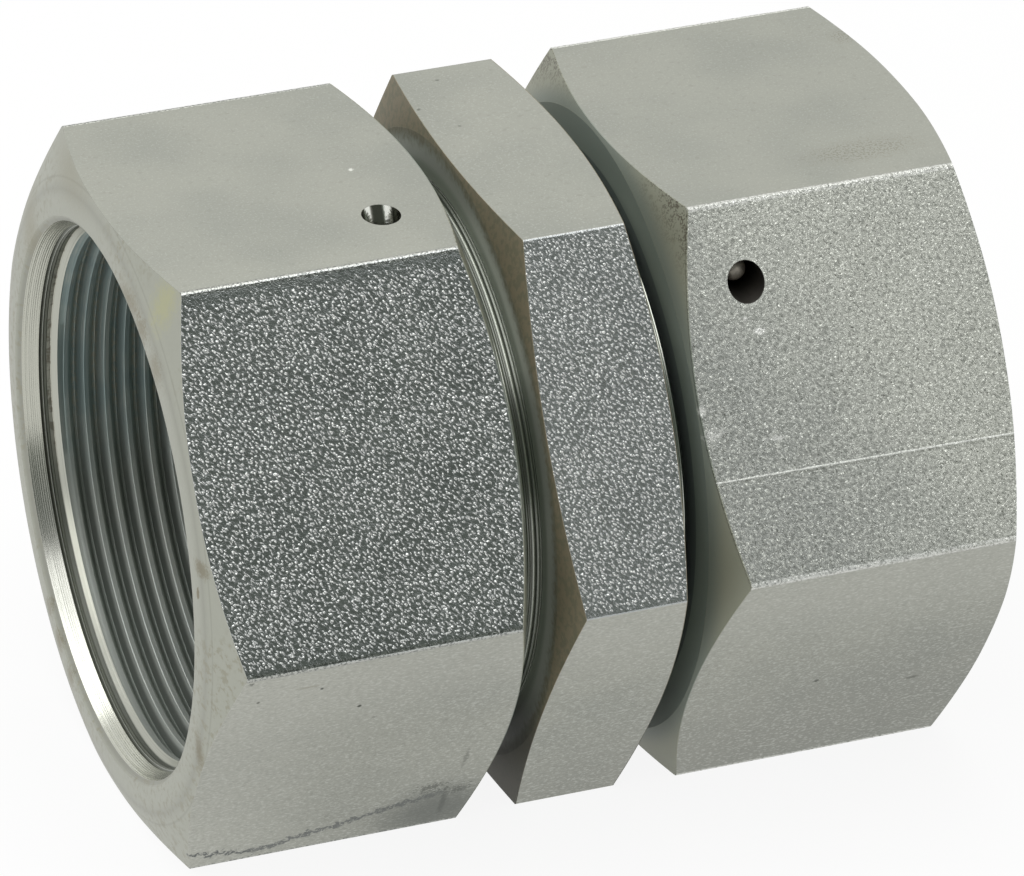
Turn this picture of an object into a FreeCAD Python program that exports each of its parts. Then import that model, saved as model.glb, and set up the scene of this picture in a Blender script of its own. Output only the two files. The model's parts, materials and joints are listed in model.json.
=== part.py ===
import FreeCAD, Part
import math
import os
import Sketcher

# Straight pipe adapter with a swivel nut at each end, for two M52 x 2 threaded stubs.
# The adapter lies along X on the flats of its nuts. Its origin is its middle, on the axis.
# +Z is up, the left nut's mouth looks along -X and the right nut's along +X.
# Each nut is drawn with its back face at x = 0 and its mouth along +X, and is then put in place.

vec = FreeCAD.Vector

# Every length is in millimetres and every angle in degrees.
SIZES = {
    # the two hexagons: across flats, and the round along each of their long edges
    "nut_flats": 60.0,
    "centre_flats": 59.7,
    "edge_round": 0.3,
    "outside": 37.0,
    # the hexagon in the middle: how far it reaches to each side, and its corner chamfers
    "centre_left": 5.85,
    "centre_right": 6.3,
    "centre_ring": 29.6,
    "left_drop": 0.93,
    "right_drop": 1.48,
    "centre_roll": 0.5,
    # hub beside the hexagon, neck in the nut, and the 24 degree sealing nose
    "hub_radius": 25.7,
    "hub_end": 8.25,
    "neck_radius": 22.5,
    "neck_end": 17.56,
    "cone_base": 22.35,
    "cone_angle": 12.0,
    "nose_end": 23.26,
    "bore_radius": 18.0,
    "edge_break": 0.25,
    "nose_break": 0.5,
    # O-ring and its groove in the nose
    "ring_start": 19.45,
    "ring_width": 2.4,
    "ring_floor": 19.95,
    "ring_section": 1.0,
    "ring_gap": 0.02,
    # nut: where its back face sits, its length and its two rings of corners
    "nut_place": 8.75,
    "nut_length": 30.51,
    "back_corner": 2.26,
    "back_ring": 29.7,
    "front_corner": 28.21,
    "front_angle": 22.6,
    "front_blend": 10.0,
    # nut's rear bore, the relief behind the thread, where the nose reaches, and the thread's crests
    "rear_bore": 22.55,
    "bore_break": 0.4,
    "wall_front": 9.61,
    "relief_radius": 26.2,
    "thread_end": 14.75,
    "thread_crest": 24.92,
    # steps of the mouth: depth from the front face, and radius
    "mouth_radius": 26.6,
    "lip_depth": 0.45,
    "lip_radius": 26.06,
    "cone_depth": 1.95,
    "cone_radius": 25.5,
    "line_one_depth": 2.1,
    "line_one_radius": 25.68,
    "crest_depth": 2.28,
    "crest_radius": 25.42,
    "line_two_depth": 2.44,
    "line_two_radius": 25.6,
    "land_depth": 2.6,
    "land_radius": 25.42,
    "lead_depth": 3.05,
    "lead_radius": 25.4,
    "thread_depth": 3.62,
    # retaining wire, its groove, and the slanting hole that it goes in through
    "wire_plane": 6.6,
    "wire_radius": 1.1,
    "wire_groove": 1.15,
    "wire_sunk": 2.2,
    "wire_stop": 62.0,
    "wire_round": 0.85,
    "hole_radius": 1.78,
    "hole_start": 4.0,
    "hole_spare": 0.5,
    "left_hole": 9.1,
    "right_hole": 9.95,
}


def makeSheet(doc):
    sheet = doc.addObject("Spreadsheet::Sheet", "Sizes")
    for row, (name, value) in enumerate(SIZES.items(), start=1):
        sheet.set("A%d" % row, name)
        sheet.set("B%d" % row, str(value))
        sheet.setAlias("B%d" % row, name)
    doc.recompute()
    return sheet


def size(name):
    return "Sizes." + name


# The corner of a hexagon is this far from the axis.
def cornerOf(flats):
    return "%s / 2 / cos(30 deg)" % size(flats)


# The hole's slant makes it run along the wire's circle: it is measured from the flat's normal.
def slantOf(offset):
    across = "atan(Sizes.nut_flats / 2 / %s)" % size(offset)
    reach = "sqrt(%s ^ 2 + (Sizes.nut_flats / 2) ^ 2)" % size(offset)
    return "(%s + asin(Sizes.neck_radius / %s) - 90 deg)" % (across, reach)


# A point on the hole's axis, this deep below the flat, as Y and Z in the nut's own frame.
def onHole(offset, depth):
    slant = slantOf(offset)
    across = "%s + (%s) * sin(%s)" % (size(offset), depth, slant)
    up = "Sizes.nut_flats / 2 - (%s) * cos(%s)" % (depth, slant)
    return across, up


def originPlane(body, role):
    for feature in body.Origin.OriginFeatures:
        if feature.Role == role:
            return feature
    raise ValueError("no plane " + role)


def newSketch(body, name, role):
    sketch = body.newObject("Sketcher::SketchObject", name)
    sketch.AttachmentSupport = [(originPlane(body, role), "")]
    sketch.MapMode = "FlatFace"
    return sketch


def bind(sketch, constraint, expression):
    index = sketch.addConstraint(constraint)
    sketch.setExpression("Constraints[%d]" % index, expression)


# The point stays where it was drawn until the sheet's sizes move it.
def pin(sketch, geometry, point, across, up):
    spot = sketch.getPoint(geometry, point)
    bind(sketch, Sketcher.Constraint("DistanceX", -1, 1, geometry, point, spot.x), across)
    bind(sketch, Sketcher.Constraint("DistanceY", -1, 1, geometry, point, spot.y), up)


# A closed outline of straight lines. Its corners are drawn apart from each other, and their sizes
# then take each one to its place.
def outline(body, name, points):
    sketch = newSketch(body, name, "XY_Plane")
    count = len(points)
    starts = [vec(20 + index, 20 + index * index % 7, 0) for index in range(count)]
    for index in range(count):
        sketch.addGeometry(Part.LineSegment(starts[index], starts[(index + 1) % count]), False)
    for index, (across, up) in enumerate(points):
        sketch.addConstraint(Sketcher.Constraint("Coincident", index, 2, (index + 1) % count, 1))
        pin(sketch, index, 1, across, up)
    return sketch


# A round section, such as a wire's, set out from the axis.
def roundSection(body, name, across, up, radius):
    sketch = newSketch(body, name, "XY_Plane")
    sketch.addGeometry(Part.Circle(vec(10, 20, 0), vec(0, 0, 1), 1), False)
    pin(sketch, 0, 3, across, up)
    bind(sketch, Sketcher.Constraint("Radius", 0, 1.0), radius)
    return sketch


def turn(body, name, kind, sketch):
    feature = body.newObject("PartDesign::" + kind, name)
    feature.Profile = sketch
    feature.ReferenceAxis = (sketch, ["H_Axis"])
    feature.Angle = 360.0
    sketch.Document.recompute()
    return feature


# The other end's copy of an outline, seen in a mirror on the plane x = 0.
def mirrored(points):
    return [("-(%s)" % across, up) for across, up in reversed(points)]


# Six equal sides on a circle, with the top side level and its distance from the axis bound.
def hexagonSketch(body, flats, start):
    sketch = newSketch(body, "HexagonSketch", "YZ_Plane")
    sketch.setExpression("AttachmentOffset.Base.z", start)
    reach = SIZES[flats] / 2 / math.cos(math.radians(30))
    corners = []
    for index in range(6):
        angle = math.radians(60 * index)
        corners.append(vec(reach * math.cos(angle), reach * math.sin(angle), 0))
    for index in range(6):
        sketch.addGeometry(Part.LineSegment(corners[index], corners[(index + 1) % 6]), False)
    circle = sketch.addGeometry(Part.Circle(vec(0, 0, 0), vec(0, 0, 1), reach), True)
    sketch.addConstraint(Sketcher.Constraint("Coincident", circle, 3, -1, 1))
    for index in range(6):
        sketch.addConstraint(Sketcher.Constraint("Coincident", index, 2, (index + 1) % 6, 1))
        sketch.addConstraint(Sketcher.Constraint("PointOnObject", index, 1, circle))
    for index in range(1, 6):
        sketch.addConstraint(Sketcher.Constraint("Equal", 0, index))
    sketch.addConstraint(Sketcher.Constraint("Horizontal", 1))
    bind(sketch, Sketcher.Constraint("Radius", circle, reach), cornerOf(flats))
    return sketch


def longEdges(shape):
    names = []
    for index, edge in enumerate(shape.Edges, start=1):
        box = edge.BoundBox
        if box.XLength > 1 and box.YLength < 0.001 and box.ZLength < 0.001:
            names.append("Edge%d" % index)
    return names


# A length of hexagonal bar along X with its six long edges rounded a little.
def hexagonBar(body, flats, start, length):
    bar = body.newObject("PartDesign::Pad", "Bar")
    bar.Profile = hexagonSketch(body, flats, start)
    bar.setExpression("Length", length)
    body.Document.recompute()
    rounds = body.newObject("PartDesign::Fillet", "EdgeRounds")
    rounds.Base = (bar, longEdges(bar.Shape))
    rounds.setExpression("Radius", size("edge_round"))
    body.Document.recompute()


# What is turned off the hexagon's corners: from the face's ring out to the corner plane.
def cornerChamfer(body, name, face, ring, plane, flats):
    points = [(face, ring), (face, size("outside")), (plane, size("outside")), (plane, cornerOf(flats))]
    turn(body, name, "Groove", outline(body, name + "Sketch", points))


# The nut's front corners are turned to a cone that blends into the face in one round sweep.
def frontChamfer(body):
    sketch = newSketch(body, "FrontChamferSketch", "XY_Plane")
    face = SIZES["nut_length"]
    blend = SIZES["front_blend"]
    slope = math.radians(SIZES["front_angle"])
    corner = vec(SIZES["front_corner"], SIZES["nut_flats"] / 2 / math.cos(math.radians(30)), 0)
    sharp = corner.y - (face - corner.x) / math.tan(slope)
    centre = vec(face - blend, sharp - blend * math.tan(slope / 2), 0)
    meet = centre + vec(blend * math.cos(slope), blend * math.sin(slope), 0)
    low = centre + vec(blend, 0, 0)
    top = SIZES["outside"]
    circle = Part.Circle(centre, vec(0, 0, 1), blend)
    sketch.addGeometry(Part.LineSegment(corner, meet), False)
    sketch.addGeometry(Part.ArcOfCircle(circle, 0, slope), False)
    sketch.addGeometry(Part.LineSegment(low, vec(face, top, 0)), False)
    sketch.addGeometry(Part.LineSegment(vec(face, top, 0), vec(corner.x, top, 0)), False)
    sketch.addGeometry(Part.LineSegment(vec(corner.x, top, 0), corner), False)
    sketch.addConstraint(Sketcher.Constraint("Tangent", 0, 2, 1, 2))
    sketch.addConstraint(Sketcher.Constraint("Tangent", 1, 1, 2, 1))
    sketch.addConstraint(Sketcher.Constraint("Coincident", 2, 2, 3, 1))
    sketch.addConstraint(Sketcher.Constraint("Coincident", 3, 2, 4, 1))
    sketch.addConstraint(Sketcher.Constraint("Coincident", 4, 2, 0, 1))
    pin(sketch, 0, 1, size("front_corner"), cornerOf("nut_flats"))
    pin(sketch, 3, 1, size("nut_length"), size("outside"))
    pin(sketch, 4, 1, size("front_corner"), size("outside"))
    sketch.addConstraint(Sketcher.Constraint("Vertical", 2))
    bind(sketch, Sketcher.Constraint("Radius", 1, blend), size("front_blend"))
    bind(sketch, Sketcher.Constraint("Angle", 0, slope - math.pi / 2), "(Sizes.front_angle - 90) * 1 deg")
    turn(body, "FrontChamfer", "Groove", sketch)


# From the mouth inwards: bevelled lip, polished cone, two fine turned lines, a land, and the lead into
# the thread.
def nutBore(body):
    def deep(name):
        return "Sizes.nut_length - " + size(name)

    points = [
        ("0", "0"),
        ("0", "Sizes.rear_bore + Sizes.bore_break"),
        (size("bore_break"), size("rear_bore")),
        (size("wall_front"), size("rear_bore")),
        (size("wall_front"), size("relief_radius")),
        (size("thread_end"), size("relief_radius")),
        (size("thread_end"), size("thread_crest")),
        (deep("thread_depth"), size("thread_crest")),
        (deep("lead_depth"), size("lead_radius")),
        (deep("land_depth"), size("land_radius")),
        (deep("line_two_depth"), size("line_two_radius")),
        (deep("crest_depth"), size("crest_radius")),
        (deep("line_one_depth"), size("line_one_radius")),
        (deep("cone_depth"), size("cone_radius")),
        (deep("lip_depth"), size("lip_radius")),
        (size("nut_length"), size("mouth_radius")),
        (size("nut_length"), "0"),
    ]
    turn(body, "Bore", "Groove", outline(body, "BoreSketch", points))


# A sketch square to the wire hole's axis, this deep below the flat.
def acrossHole(body, name, offset, depth, radius):
    sketch = newSketch(body, name, "XY_Plane")
    across, up = onHole(offset, depth)
    sketch.AttachmentOffset = FreeCAD.Placement(vec(0, 0, 0), FreeCAD.Rotation(vec(1, 0, 0), 1.0))
    sketch.setExpression("AttachmentOffset.Rotation.Angle", slantOf(offset))
    sketch.setExpression("AttachmentOffset.Base.y", across)
    sketch.setExpression("AttachmentOffset.Base.z", up)
    sketch.addGeometry(Part.Circle(vec(6, 0, 0), vec(0, 0, 1), 1.0), False)
    pin(sketch, 0, 3, size("wire_plane"), "0")
    bind(sketch, Sketcher.Constraint("Radius", 0, 1.0), radius)
    return sketch


def wireHole(body, offset):
    slant = slantOf(offset)
    reach = "Sizes.nut_flats / 2 * cos(%s) - %s * sin(%s)" % (slant, size(offset), slant)
    hole = body.newObject("PartDesign::Pocket", "WireHole")
    hole.Profile = acrossHole(body, "WireHoleSketch", offset, "-Sizes.hole_start", size("hole_radius"))
    hole.setExpression("Length", "Sizes.hole_start - Sizes.hole_spare + " + reach)
    body.Document.recompute()


def swivelNut(doc, label, offset):
    body = doc.addObject("PartDesign::Body", label)
    body.Label = label
    hexagonBar(body, "nut_flats", "0", size("nut_length"))
    cornerChamfer(body, "BackChamfer", "0", size("back_ring"), size("back_corner"), "nut_flats")
    frontChamfer(body)
    nutBore(body)
    groove = roundSection(body, "WireGrooveSketch", size("wire_plane"), size("neck_radius"), size("wire_groove"))
    turn(body, "WireGroove", "Groove", groove)
    before = body.Shape.Volume
    wireHole(body, offset)
    least = math.pi * SIZES["hole_radius"] ** 2
    if body.Shape.Volume > before - least:
        raise ValueError(label + ": the wire hole cuts nothing")
    return body


# The wire goes straight down the hole and then round the groove, nearly a full turn.
def wirePath(body, offset):
    sketch = newSketch(body, "PathSketch", "YZ_Plane")
    sketch.setExpression("AttachmentOffset.Base.z", size("wire_plane"))
    ring = SIZES["neck_radius"]
    half = SIZES["nut_flats"] / 2
    side = SIZES[offset]
    slant = math.atan2(half, side) + math.asin(ring / math.hypot(half, side)) - math.pi / 2
    circle = Part.Circle(vec(0, 0, 0), vec(0, 0, 1), ring)
    stop = math.radians(SIZES["wire_stop"])
    sketch.addGeometry(Part.ArcOfCircle(circle, stop, slant + 2 * math.pi), False)
    meet = vec(ring * math.cos(slant), ring * math.sin(slant), 0)
    depth = SIZES["wire_sunk"]
    tail = vec(side + depth * math.sin(slant), half - depth * math.cos(slant), 0)
    sketch.addGeometry(Part.LineSegment(meet, tail), False)
    sketch.addConstraint(Sketcher.Constraint("Coincident", 0, 3, -1, 1))
    sketch.addConstraint(Sketcher.Constraint("Tangent", 0, 2, 1, 1))
    bind(sketch, Sketcher.Constraint("Radius", 0, ring), size("neck_radius"))
    across, up = onHole(offset, size("wire_sunk"))
    pin(sketch, 1, 2, across, up)
    stopping = "Sizes.neck_radius * cos(Sizes.wire_stop * 1 deg)"
    bind(sketch, Sketcher.Constraint("DistanceX", -1, 1, 0, 1, ring * math.cos(stop)), stopping)
    return sketch


# The two round edges at the wire's ends.
def endEdges(shape, radius):
    names = []
    for index, edge in enumerate(shape.Edges, start=1):
        if abs(edge.Length - 2 * math.pi * radius) > 0.01:
            continue
        faces = shape.ancestorsOfType(edge, Part.Face)
        if any(isinstance(face.Surface, Part.Plane) for face in faces):
            names.append("Edge%d" % index)
    return names


def retainingWire(doc, label, offset):
    body = doc.addObject("PartDesign::Body", label)
    body.Label = label
    path = wirePath(body, offset)
    section = acrossHole(body, "SectionSketch", offset, size("wire_sunk"), size("wire_radius"))
    doc.recompute()
    pipe = body.newObject("PartDesign::AdditivePipe", "Wire")
    pipe.Profile = section
    pipe.Spine = (path, [])
    doc.recompute()
    ends = body.newObject("PartDesign::Fillet", "EndRounds")
    ends.Base = (pipe, endEdges(pipe.Shape, SIZES["wire_radius"]))
    ends.setExpression("Radius", size("wire_round"))
    doc.recompute()
    return body


def sealRing(doc, label):
    body = doc.addObject("PartDesign::Body", label)
    body.Label = label
    across = "Sizes.ring_start + Sizes.ring_width / 2"
    up = "Sizes.ring_floor + Sizes.ring_section + Sizes.ring_gap"
    section = roundSection(body, "SectionSketch", across, up, size("ring_section"))
    turn(body, "Ring", "Revolution", section)
    return body


# Hub, neck and nose of the right end, from the hexagon outwards.
def endOutline():
    def cone(across):
        return "Sizes.cone_base - (%s - Sizes.neck_end) * tan(Sizes.cone_angle * 1 deg)" % across

    tip = "(Sizes.nose_end - Sizes.nose_break)"
    return [
        ("Sizes.hub_end - Sizes.edge_break", size("hub_radius")),
        (size("hub_end"), "Sizes.hub_radius - Sizes.edge_break"),
        (size("hub_end"), size("neck_radius")),
        ("Sizes.neck_end - Sizes.edge_break", size("neck_radius")),
        (size("neck_end"), size("cone_base")),
        (tip, cone(tip)),
        (size("nose_end"), "%s - Sizes.nose_break" % cone(tip)),
    ]


def centreBody(doc, label):
    body = doc.addObject("PartDesign::Body", label)
    body.Label = label
    hexagonBar(body, "centre_flats", "-Sizes.centre_left", "Sizes.centre_left + Sizes.centre_right")
    corner = "centre_flats"
    right = ("Sizes.centre_right - Sizes.right_drop", size("centre_right"))
    left = ("Sizes.left_drop - Sizes.centre_left", "-Sizes.centre_left")
    cornerChamfer(body, "RightChamfer", right[1], size("centre_ring"), right[0], corner)
    cornerChamfer(body, "LeftChamfer", left[1], size("centre_ring"), left[0], corner)
    ends = endOutline()
    across = [(size("nose_end"), "0"), ("-Sizes.nose_end", "0")]
    turn(body, "Ends", "Revolution", outline(body, "EndsSketch", ends + across + mirrored(ends)))
    start = size("ring_start")
    stop = "Sizes.ring_start + Sizes.ring_width"
    floor = size("ring_floor")
    top = size("neck_radius")
    seat = [(start, floor), (stop, floor), (stop, top), (start, top)]
    turn(body, "RightSeat", "Groove", outline(body, "RightSeatSketch", seat))
    turn(body, "LeftSeat", "Groove", outline(body, "LeftSeatSketch", mirrored(seat)))
    plane = "Sizes.nut_place + Sizes.wire_plane"
    for name, place in (("RightWireGroove", plane), ("LeftWireGroove", "-(%s)" % plane)):
        groove = roundSection(body, name + "Sketch", place, size("neck_radius"), size("wire_groove"))
        turn(body, name, "Groove", groove)
    mouth = "Sizes.bore_radius + Sizes.nose_break"
    half = [
        ("Sizes.nose_end - Sizes.nose_break", size("bore_radius")),
        (size("nose_end"), mouth),
        (size("nose_end"), "0"),
    ]
    turn(body, "Bore", "Groove", outline(body, "BoreSketch", mirrored(half) + half))
    return body


# A piece of the right end, with its nut turned so that the wire hole is on the front upper flat.
def placeRight(piece, turned):
    angle = 60 if turned else 0
    piece.Placement = FreeCAD.Placement(vec(0, 0, 0), FreeCAD.Rotation(vec(1, 0, 0), angle))
    if turned:
        piece.setExpression("Placement.Base.x", size("nut_place"))


# A piece of the left end: half a turn about Z, so the wire hole is on the top flat.
def placeLeft(piece, shifted):
    piece.Placement = FreeCAD.Placement(vec(0, 0, 0), FreeCAD.Rotation(vec(0, 0, 1), 180))
    if shifted:
        piece.setExpression("Placement.Base.x", "-Sizes.nut_place")


def placeCentre(piece):
    piece.Placement = FreeCAD.Placement(vec(0, 0, 0), FreeCAD.Rotation(vec(1, 0, 0), 1.0))
    piece.setExpression("Placement.Rotation.Angle", size("centre_roll"))


def checkAll(doc, pieces):
    for item in doc.Objects:
        if "Invalid" in item.State or "Error" in item.State:
            raise ValueError("failed: " + item.Name)
    for piece in pieces:
        if piece.Shape.isNull() or not piece.Shape.isValid() or len(piece.Shape.Solids) != 1:
            raise ValueError("bad shape: " + piece.Label)


def main():
    doc = FreeCAD.newDocument("SwivelAdapter")
    makeSheet(doc)
    centre = centreBody(doc, "body")
    placeCentre(centre)
    leftNut = swivelNut(doc, "left_nut", "left_hole")
    rightNut = swivelNut(doc, "right_nut", "right_hole")
    leftWire = retainingWire(doc, "left_retaining_wire", "left_hole")
    rightWire = retainingWire(doc, "right_retaining_wire", "right_hole")
    leftRing = sealRing(doc, "left_o_ring")
    rightRing = sealRing(doc, "right_o_ring")
    placeLeft(leftNut, True)
    placeLeft(leftWire, True)
    placeLeft(leftRing, False)
    placeRight(rightNut, True)
    placeRight(rightWire, True)
    placeRight(rightRing, False)
    doc.recompute()
    pieces = [centre, leftNut, rightNut, leftWire, rightWire, leftRing, rightRing]
    checkAll(doc, pieces)
    os.makedirs("parts", exist_ok=True)
    for piece in pieces:
        piece.Shape.exportStep("parts/%s.step" % piece.Label)
        box = piece.Shape.BoundBox
        print(piece.Label, "volume %.0f" % piece.Shape.Volume, "faces", len(piece.Shape.Faces), box)


main()
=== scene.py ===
import json
import math

import bmesh
import bpy
from mathutils import Matrix, Vector

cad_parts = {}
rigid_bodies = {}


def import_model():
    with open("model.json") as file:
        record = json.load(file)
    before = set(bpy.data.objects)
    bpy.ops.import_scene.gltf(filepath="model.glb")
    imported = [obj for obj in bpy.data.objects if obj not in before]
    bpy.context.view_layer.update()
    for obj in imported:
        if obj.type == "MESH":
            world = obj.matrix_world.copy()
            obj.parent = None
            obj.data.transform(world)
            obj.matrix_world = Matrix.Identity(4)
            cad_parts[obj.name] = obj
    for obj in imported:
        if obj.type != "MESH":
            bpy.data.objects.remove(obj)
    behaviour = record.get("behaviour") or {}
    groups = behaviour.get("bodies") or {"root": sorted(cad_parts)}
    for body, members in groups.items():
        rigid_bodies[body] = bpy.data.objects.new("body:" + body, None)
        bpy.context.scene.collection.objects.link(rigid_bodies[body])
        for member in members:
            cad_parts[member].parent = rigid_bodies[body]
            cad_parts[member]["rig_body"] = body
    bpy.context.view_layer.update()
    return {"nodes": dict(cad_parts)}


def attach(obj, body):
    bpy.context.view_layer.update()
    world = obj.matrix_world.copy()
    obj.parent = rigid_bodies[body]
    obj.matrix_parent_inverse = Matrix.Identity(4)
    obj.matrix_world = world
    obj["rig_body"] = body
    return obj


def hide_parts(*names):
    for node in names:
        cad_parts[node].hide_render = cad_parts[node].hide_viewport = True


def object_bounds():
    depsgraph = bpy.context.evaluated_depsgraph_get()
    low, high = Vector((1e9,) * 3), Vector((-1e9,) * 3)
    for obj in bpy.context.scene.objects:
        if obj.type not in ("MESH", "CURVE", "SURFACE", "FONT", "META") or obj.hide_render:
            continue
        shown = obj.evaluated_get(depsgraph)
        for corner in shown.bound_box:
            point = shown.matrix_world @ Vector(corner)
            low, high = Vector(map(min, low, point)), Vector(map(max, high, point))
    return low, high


# Looks of a straight pipe adapter with two swivel nuts. It lies along X, and its left mouth looks along -X.
# Lengths in the dictionaries are millimetres; one unit of the scene is a metre.

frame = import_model()
print("frame loaded")

mm = 0.001


class Signal:
    # One output of a shader node. Arithmetic on it adds the nodes that work it out.
    def __init__(self, tree, socket=None):
        self.tree = tree
        self.socket = socket

    def node(self, kind, settings=None, values=None, out=0):
        made = self.tree.nodes.new(kind)
        for name, value in (settings or {}).items():
            setattr(made, name, value)
        for name, value in (values or {}).items():
            if isinstance(value, Signal):
                self.tree.links.new(value.socket, made.inputs[name])
            else:
                made.inputs[name].default_value = value
        return Signal(self.tree, made.outputs[out] if made.outputs else None)

    def math(self, operation, *values):
        return self.node("ShaderNodeMath", {"operation": operation}, dict(enumerate(values)))

    def vector(self, operation, values, out=0):
        return self.node("ShaderNodeVectorMath", {"operation": operation}, values, out)

    def __add__(self, other):
        return self.math("ADD", self, other)

    __radd__ = __add__

    def __sub__(self, other):
        return self.math("SUBTRACT", self, other)

    def __rsub__(self, other):
        return self.math("SUBTRACT", other, self)

    def __mul__(self, other):
        return self.math("MULTIPLY", self, other)

    __rmul__ = __mul__

    def sqrt(self):
        return self.math("SQRT", self)

    def absolute(self):
        return self.math("ABSOLUTE", self)

    def larger(self, other):
        return self.math("MAXIMUM", self, other)

    def split(self):
        made = self.node("ShaderNodeSeparateXYZ", None, {0: self})
        return [Signal(self.tree, socket) for socket in made.socket.node.outputs]

    # A vector of two signals, for grain laid on a flat and for turned rings.
    def beside(self, other):
        return self.node("ShaderNodeCombineXYZ", None, {0: self, 1: other, 2: 0.0})

    def dot(self, other):
        return self.vector("DOT_PRODUCT", {0: self, 1: other}, "Value")

    def scaled(self, amount):
        return self.vector("SCALE", {0: self, "Scale": amount})

    def shifted(self, other):
        return self.vector("ADD", {0: self, 1: other})

    def times(self, other):
        return self.vector("MULTIPLY", {0: self, 1: other})

    def distanceTo(self, other):
        return self.vector("DISTANCE", {0: self, 1: other}, "Value")

    # 0 below low, top above high, and a smooth step between. With low above high it falls instead.
    def ramp(self, low, high, top=1.0):
        values = {"Value": self, "From Min": low, "From Max": high, "To Min": 0.0, "To Max": top}
        if low > high:
            values.update({"From Min": high, "From Max": low, "To Min": top, "To Max": 0.0})
        return self.node("ShaderNodeMapRange", {"interpolation_type": "SMOOTHSTEP"}, values)

    # 1 between low and high, with edges this soft
    def band(self, low, high, soft):
        return self.ramp(low - soft, low + soft) * self.ramp(high + soft, high - soft)

    def noise(self, scale, detail=1.0, rough=0.6):
        values = {"Vector": self, "Scale": scale, "Detail": detail, "Roughness": rough}
        return self.node("ShaderNodeTexNoise", None, values, "Fac")

    # the same noise over the first two directions alone
    def flatNoise(self, scale, detail=1.0, rough=0.5, out="Fac"):
        values = {"Vector": self, "Scale": scale, "Detail": detail, "Roughness": rough}
        return self.node("ShaderNodeTexNoise", {"noise_dimensions": "2D"}, values, out)

    # A colour that goes from low to high as this mask goes from 0 to 1.
    def between(self, low, high):
        values = {0: self, 6: (*low, 1.0), 7: (*high, 1.0)}
        return self.node("ShaderNodeMix", {"data_type": "RGBA"}, values, 2)

    # This colour where the mask is 0, and the other one where it is 1.
    def mixed(self, other, mask):
        other = other if isinstance(other, Signal) else (*other, 1.0)
        return self.node("ShaderNodeMix", {"data_type": "RGBA"}, {0: mask, 6: self, 7: other}, 2)


def emptyTree(owner):
    owner.use_nodes = True
    owner.node_tree.nodes.clear()
    return Signal(owner.node_tree)


# A new material, the start of its nodes and the place on the piece in millimetres.
def newMaterial(name):
    material = bpy.data.materials.new(name)
    start = emptyTree(material)
    place = start.node("ShaderNodeTexCoord", out="Object").scaled(1 / mm)
    return material, start, place


def finishMaterial(start, values, bump, strength, depth):
    settings = {"Strength": strength, "Distance": depth * mm, "Height": bump}
    values["Normal"] = start.node("ShaderNodeBump", None, settings)
    shader = start.node("ShaderNodeBsdfPrincipled", None, values)
    start.node("ShaderNodeOutputMaterial", None, {"Surface": shader})


# 1 inside a mark and 0 outside: its place, its reach, how soft and how ragged its edge is, in millimetres.
def spot(here, mark):
    stretch = mark.get("stretch", (1.0, 1.0, 1.0))
    place = here["place"].times(stretch) if "stretch" in mark else here["place"]
    middle = tuple(value * amount for value, amount in zip(mark["at"], stretch))
    away = place.distanceTo(middle) + here["ragged"] * mark["ragged"]
    mask = away.ramp(mark["reach"] + mark["soft"], mark["reach"] - mark["soft"], mark["strength"])
    return mask * here["fine"].ramp(0.5, 0.6) if mark.get("specked") else mask


# Lays one colour over the surface where the mask says so, with its own roughness and share of bare metal.
def lay(surface, mask, colour, rough=None, metal=None):
    surface["colour"] = surface["colour"].mixed(colour, mask)
    for name, value in (("rough", rough), ("metal", metal)):
        if value is not None:
            surface[name] = surface[name] + (value - surface[name]) * mask


# Zinc plating on all three hexagons. The flat that faces the front and looks down has its own tones: random
# streaks, and painted light and shade, lighter towards its top and towards the left nut's front end, darker
# towards its bottom.
steelLook = {
    "pale": (0.365, 0.372, 0.325),
    "paleTint": (0.325, 0.335, 0.295),
    "mottle": (0.27, 0.28, 0.24),
    "fleck": (0.5, 0.51, 0.46),
    "lowPaintedLight": (0.45, 0.455, 0.405),
    "lowShade": (0.24, 0.245, 0.22),
    "lowFrontPaintedLight": (0.5, 0.505, 0.45),
    "streak": (0.6, 0.615, 0.57),
    "streakDark": (0.22, 0.23, 0.21),
    # The edge tone is a painted highlight along the rounded long edges, broken by darker gaps.
    "edge": (0.55, 0.56, 0.53),
    "edgeDark": (0.16, 0.17, 0.16),
    "rough": 0.4,
    "grit": 0.11,
    "turning": 0.2,
    "lines": 0.09,
    "depth": 0.12,
}
# On the right nut the painted highlight along the edges is brighter.
rightSteelLook = dict(steelLook, edge=(0.95, 0.96, 0.92))
lowNormal = (0.0, -0.8660, -0.5)

# The flat that faces the front and looks up has an open grain of small raised crystals. It differs on each of
# the three hexagons. The low hollows between the crystals are painted darker as painted shade. On the right
# hexagon the ground is also painted darker towards its left and its bottom as painted shade, and a painted
# relief of lighter crests and darker troughs lies over it.
leftGrain = {
    "normal": (0.0, -0.8660, 0.5),
    "place": 30.0,
    "size": 0.3,
    "stretch": 1.6,
    "way": (0.73, -0.68),
    "wobble": 0.7,
    "reach": 0.34,
    "ragged": 0.45,
    "uneven": 0.25,
    "upperEnd": (17.2, 16.7),
    "lowerEnd": (-16.4, -16.0),
    "ground": (0.43, 0.45, 0.445),
    "groundDark": (0.33, 0.35, 0.345),
    "crystal": (0.66, 0.67, 0.64),
    "hollowShade": (0.2, 0.21, 0.19),
    "troughShade": (0.18, 0.19, 0.17),
    "pit": (0.08, 0.08, 0.06),
    "blotch": 1.0,
    "shade": (0.0, 0.0, 0.0),
    "metal": 1.0,
    "rough": 0.18,
    "depth": 0.85,
    "pits": 0.0,
    "relief": 0.0,
    "edgeBreak": 0.7,
}
centreGrain = dict(
    leftGrain, normal=(0.0, -0.8703, 0.4924), place=29.85, size=0.28, reach=0.36, upperEnd=(18.2, 17.7),
    ground=(0.46, 0.48, 0.475), groundDark=(0.37, 0.39, 0.39), metal=0.88, edgeBreak=0.4,
)
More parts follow.
